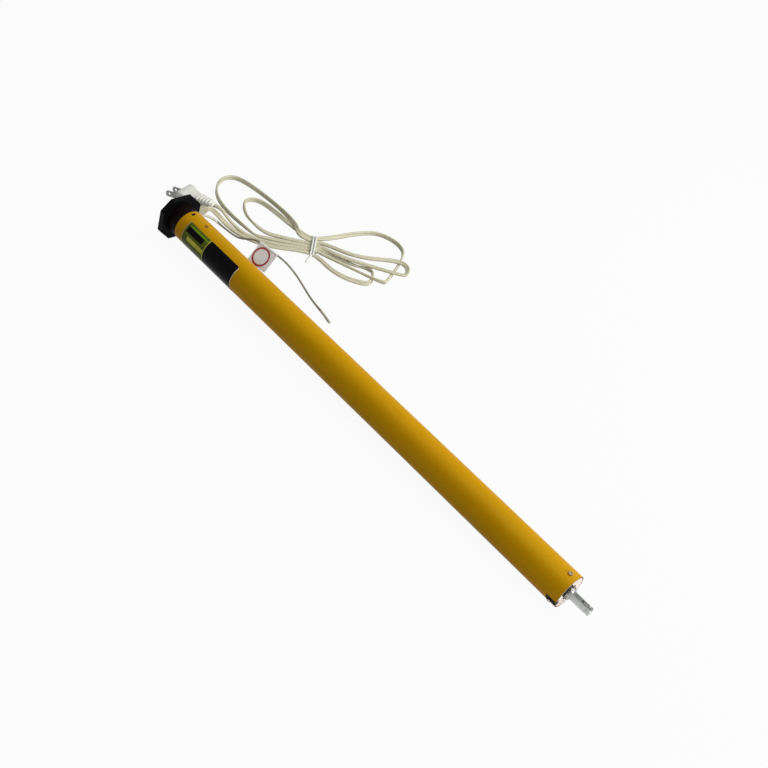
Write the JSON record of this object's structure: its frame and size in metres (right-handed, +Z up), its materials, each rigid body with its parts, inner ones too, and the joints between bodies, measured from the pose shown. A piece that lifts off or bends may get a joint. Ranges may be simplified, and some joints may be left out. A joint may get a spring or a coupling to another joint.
{
  "type": "tubular curtain motor",
  "caption": "Round tubular motor that drives a roller shade or curtain from inside its tube, with octagonal head, set button, output shaft, power cord, plug and antenna.",
  "frame": {"origin": "middle of the motor's footprint on the table, without its cords; the table is z = 0", "axes": "+X along the motor from the head to the output shaft, leaning down by about half a degree as it rests; +Y to the side where the cord leaves; +Z up"},
  "size_m": [0.6572, 0.2496, 0.0474],
  "materials": {
    "tube_paint": "semi-gloss yellow powder coat",
    "black_plastic": "fine-textured black moulding",
    "dark_steel": "blackened steel",
    "seal_rubber": "matte",
    "cord_rubber": "soft ivory rubber, as the cord's sheath",
    "switch_black": "matte",
    "clear_plastic": "milky light guide",
    "circuit_board": "green solder mask",
    "label_film": "printed film, black and olive panels left bare",
    "tray_plastic": "natural white moulding",
    "core_steel": "stacked laminations",
    "relay_plastic": "moulded case",
    "capacitor_can": "matte case",
    "magnet": "bonded ferrite",
    "zinc": "die-cast",
    "spring_steel": "drawn wire",
    "brake_lining": "friction lining",
    "bearing_steel": "ground steel",
    "copper_wire": "enamelled copper",
    "gear_plastic": "natural acetal",
    "cream_plastic": "cream moulding",
    "bronze": "sintered bronze",
    "shaft_steel": "turned steel with an oily grey surface",
    "bright_zinc": "bright zinc plate",
    "bright_screws": "bright zinc plate",
    "cord_sheath": "soft ivory sheath",
    "tie_plastic": "white plastic strip round a wire",
    "plug_plastic": "ivory moulding",
    "blade_steel": "nickel-plated",
    "antenna_sheath": "thin grey-brown sheath",
    "tag_paper": "glossy white label stock with a plain red ring"
  },
  "bodies": {
    "motor": {"motor_tube": "tube_paint", "head_body": "black_plastic", "head_cover": "black_plastic", "head_cover_screws": "dark_steel", "head_seal": "seal_rubber", "cord_gland": "cord_rubber", "button_switch": "switch_black", "status_light": "clear_plastic", "head_board": "circuit_board", "rating_label": "label_film", "board_tray": "tray_plastic", "control_board": "circuit_board", "power_transformer": "core_steel", "direction_relays": "relay_plastic", "run_capacitor": "capacitor_can", "sensor_board": "circuit_board", "brake_magnet": "zinc", "rear_end_shield": "zinc", "rear_bearing": "bearing_steel", "stator_core": "core_steel", "stator_windings": "copper_wire", "front_end_shield": "zinc", "front_bearing": "bearing_steel", "ring_gear": "gear_plastic", "output_housing": "black_plastic", "end_cap": "cream_plastic", "output_bush": "bronze", "head_fixing_screws": "dark_steel", "end_screws": "bright_screws", "power_cord_lead": "cord_sheath", "power_cord_hank": "cord_sheath", "power_cord_tail": "cord_sheath", "cord_tie": "tie_plastic", "plug_body": "plug_plastic", "plug_blades": "blade_steel", "antenna_wire": "antenna_sheath", "antenna_tag": "tag_paper"},
    "rotor": {"rotor_shaft": "bearing_steel", "rotor_core": "core_steel", "brake_disc": "brake_lining", "encoder_magnet": "magnet", "sun_pinion": "bearing_steel"},
    "crown": {"crown_ring": "black_plastic"},
    "button": {"set_button": "black_plastic"},
    "brake": {"brake_plate": "zinc", "brake_spring": "spring_steel"},
    "carrier_1": {"first_carrier": "zinc"},
    "carrier_2": {"second_carrier": "zinc"},
    "output": {"third_carrier": "zinc", "output_shaft": "shaft_steel", "shaft_collar": "bright_zinc"},
    "planet_1_1": {"first_planet_1": "gear_plastic"},
    "planet_1_2": {"first_planet_2": "gear_plastic"},
    "planet_1_3": {"first_planet_3": "gear_plastic"},
    "planet_2_1": {"second_planet_1": "gear_plastic"},
    "planet_2_2": {"second_planet_2": "gear_plastic"},
    "planet_2_3": {"second_planet_3": "gear_plastic"},
    "planet_3_1": {"third_planet_1": "gear_plastic"},
    "planet_3_2": {"third_planet_2": "gear_plastic"},
    "planet_3_3": {"third_planet_3": "gear_plastic"}
  },
  "joints": [
    {"name": "rotor_spin", "type": "hinge", "parent": "motor", "child": "rotor", "pos_m": [0.03975, 0, 0.02003], "axis": [0.9999, 0, -0.0108], "continuous": true},
    {"name": "crown_spin", "type": "hinge", "parent": "motor", "child": "crown", "pos_m": [-0.28373, 0, 0.02353], "axis": [0.9999, 0, -0.0108], "continuous": true},
    {"name": "button_press", "type": "slide", "parent": "motor", "child": "button", "axis": [0.9999, 0, -0.0108], "range_m": [0, 0.0008], "stiffness_N_per_m": 500, "springref_m": -0.0006},
    {"name": "brake_release", "type": "slide", "parent": "motor", "child": "brake", "axis": [-0.9999, 0, 0.0108], "range_m": [0, 0.0005], "stiffness_N_per_m": 3000, "springref_m": -0.002},
    {"name": "first_stage_spin", "type": "hinge", "parent": "motor", "child": "carrier_1", "pos_m": [0.15274, 0, 0.0188], "axis": [0.9999, 0, -0.0108], "continuous": true},
    {"name": "planet_1_1_spin", "type": "hinge", "parent": "carrier_1", "child": "planet_1_1", "pos_m": [0.15774, 0.00877, 0.01875], "axis": [0.9999, 0, -0.0108], "continuous": true},
    {"name": "planet_1_2_spin", "type": "hinge", "parent": "carrier_1", "child": "planet_1_2", "pos_m": [0.15782, -0.00439, 0.02635], "axis": [0.9999, 0, -0.0108], "continuous": true},
    {"name": "planet_1_3_spin", "type": "hinge", "parent": "carrier_1", "child": "planet_1_3", "pos_m": [0.15766, -0.00439, 0.01115], "axis": [0.9999, 0, -0.0108], "continuous": true},
    {"name": "second_stage_spin", "type": "hinge", "parent": "motor", "child": "carrier_2", "pos_m": [0.17574, 0, 0.01855], "axis": [0.9999, 0, -0.0108], "continuous": true},
    {"name": "planet_2_1_spin", "type": "hinge", "parent": "carrier_2", "child": "planet_2_1", "pos_m": [0.18074, 0.00877, 0.0185], "axis": [0.9999, 0, -0.0108], "continuous": true},
    {"name": "planet_2_2_spin", "type": "hinge", "parent": "carrier_2", "child": "planet_2_2", "pos_m": [0.18082, -0.00439, 0.0261], "axis": [0.9999, 0, -0.0108], "continuous": true},
    {"name": "planet_2_3_spin", "type": "hinge", "parent": "carrier_2", "child": "planet_2_3", "pos_m": [0.18066, -0.00439, 0.0109], "axis": [0.9999, 0, -0.0108], "continuous": true},
    {"name": "third_stage_spin", "type": "hinge", "parent": "motor", "child": "output", "pos_m": [0.19924, 0, 0.0183], "axis": [0.9999, 0, -0.0108], "continuous": true},
    {"name": "planet_3_1_spin", "type": "hinge", "parent": "output", "child": "planet_3_1", "pos_m": [0.20424, 0.00877, 0.01825], "axis": [0.9999, 0, -0.0108], "continuous": true},
    {"name": "planet_3_2_spin", "type": "hinge", "parent": "output", "child": "planet_3_2", "pos_m": [0.20432, -0.00439, 0.02584], "axis": [0.9999, 0, -0.0108], "continuous": true},
    {"name": "planet_3_3_spin", "type": "hinge", "parent": "output", "child": "planet_3_3", "pos_m": [0.20416, -0.00439, 0.01065], "axis": [0.9999, 0, -0.0108], "continuous": true}
  ],
  "couplings": [
    {"joint": "first_stage_spin", "follows": "rotor_spin", "ratio": 0.22222},
    {"joint": "planet_1_1_spin", "follows": "rotor_spin", "ratio": -0.62222},
    {"joint": "planet_1_2_spin", "follows": "rotor_spin", "ratio": -0.62222},
    {"joint": "planet_1_3_spin", "follows": "rotor_spin", "ratio": -0.62222},
    {"joint": "second_stage_spin", "follows": "rotor_spin", "ratio": 0.049383},
    {"joint": "planet_2_1_spin", "follows": "rotor_spin", "ratio": -0.13827},
    {"joint": "planet_2_2_spin", "follows": "rotor_spin", "ratio": -0.13827},
    {"joint": "planet_2_3_spin", "follows": "rotor_spin", "ratio": -0.13827},
    {"joint": "third_stage_spin", "follows": "rotor_spin", "ratio": 0.010974},
    {"joint": "planet_3_1_spin", "follows": "rotor_spin", "ratio": -0.030727},
    {"joint": "planet_3_2_spin", "follows": "rotor_spin", "ratio": -0.030727},
    {"joint": "planet_3_3_spin", "follows": "rotor_spin", "ratio": -0.030727}
  ]
}
